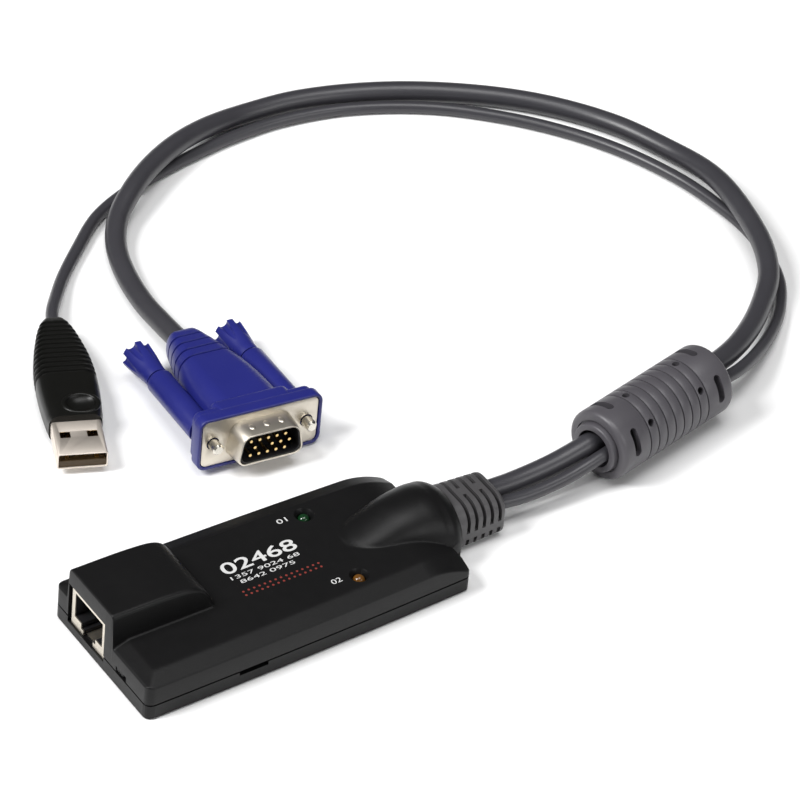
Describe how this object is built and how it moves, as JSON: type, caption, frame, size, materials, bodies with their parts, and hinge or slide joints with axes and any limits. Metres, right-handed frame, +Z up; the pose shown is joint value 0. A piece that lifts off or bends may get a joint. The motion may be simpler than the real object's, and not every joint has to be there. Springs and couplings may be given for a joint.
{
  "type": "kvm server interface module",
  "caption": "Flat black interface module with a network jack, indicator lamps and two captive cords through a ferrite choke to a video plug and a USB plug.",
  "frame": {"origin": "middle of the housing's bounding box, from jack face to boot end, on the surface it lies on", "axes": "+X from the network jack to the cord end, +Y across to the jack hump's side, +Z up"},
  "size_m": [0.2298, 0.1796, 0.0189],
  "materials": {
    "cover_plastic": "fine satin grain, black",
    "screw_steel": "zinc plated",
    "board_laminate": "green solder mask",
    "nickel_shell": "bright nickel plated sheet",
    "black_insulator": "black moulding",
    "contact_gold": "gold flashed",
    "green_lamp": "clear green",
    "amber_lamp": "clear amber",
    "switch_metal": "plated sheet",
    "slider_plastic": "black moulding",
    "chip_package": "epoxy",
    "crystal_can": "drawn can",
    "capacitor_can": "sleeved can",
    "header_plastic": "natural nylon",
    "boot_rubber": "satin black vinyl",
    "cord_jacket": "satin charcoal vinyl",
    "choke_cover": "satin charcoal vinyl",
    "ferrite": "sintered, dull",
    "blue_overmould": "satin royal blue",
    "thumbscrew_metal": "nickel plated",
    "usb_overmould": "satin black",
    "brown_tongue": "dark brown moulding"
  },
  "bodies": {
    "module": {"top_cover": "cover_plastic", "bottom_cover": "cover_plastic", "housing_screws": "screw_steel", "circuit_board": "board_laminate", "network_jack_shield": "nickel_shell", "video_plug_shell": "nickel_shell", "usb_plug_shell": "nickel_shell", "network_jack_body": "black_insulator", "video_plug_insulator": "black_insulator", "network_jack_contacts": "contact_gold", "video_plug_pins": "contact_gold", "usb_plug_contacts": "contact_gold", "online_led": "green_lamp", "power_led": "amber_lamp", "recovery_switch_body": "switch_metal", "main_processor": "chip_package", "memory_chips": "chip_package", "network_transformer": "chip_package", "crystal": "crystal_can", "capacitors": "capacitor_can", "video_header": "header_plastic", "usb_header": "header_plastic", "cable_boot": "boot_rubber", "video_cord": "cord_jacket", "usb_cord": "cord_jacket", "ferrite_cover": "choke_cover", "ferrite_core": "ferrite", "video_plug_hood": "blue_overmould", "usb_plug_hood": "usb_overmould", "usb_plug_tongue": "brown_tongue"},
    "recovery_slider": {"recovery_switch_slider": "slider_plastic"},
    "left_screw": {"left_thumbscrew": "thumbscrew_metal", "left_knob": "blue_overmould"},
    "right_screw": {"right_thumbscrew": "thumbscrew_metal", "right_knob": "blue_overmould"}
  },
  "joints": [
    {"name": "recovery_switch", "type": "slide", "parent": "module", "child": "recovery_slider", "axis": [0, 1, 0], "range_m": [-0.0015, 0]},
    {"name": "left_screw_turn", "type": "hinge", "parent": "module", "child": "left_screw", "pos_m": [0.00613, 0.06491, 0.00743], "axis": [-0.0782, -0.9938, 0.0785], "continuous": true},
    {"name": "right_screw_turn", "type": "hinge", "parent": "module", "child": "right_screw", "pos_m": [0.031, 0.06285, 0.00613], "axis": [-0.0782, -0.9938, 0.0785], "continuous": true}
  ]
}
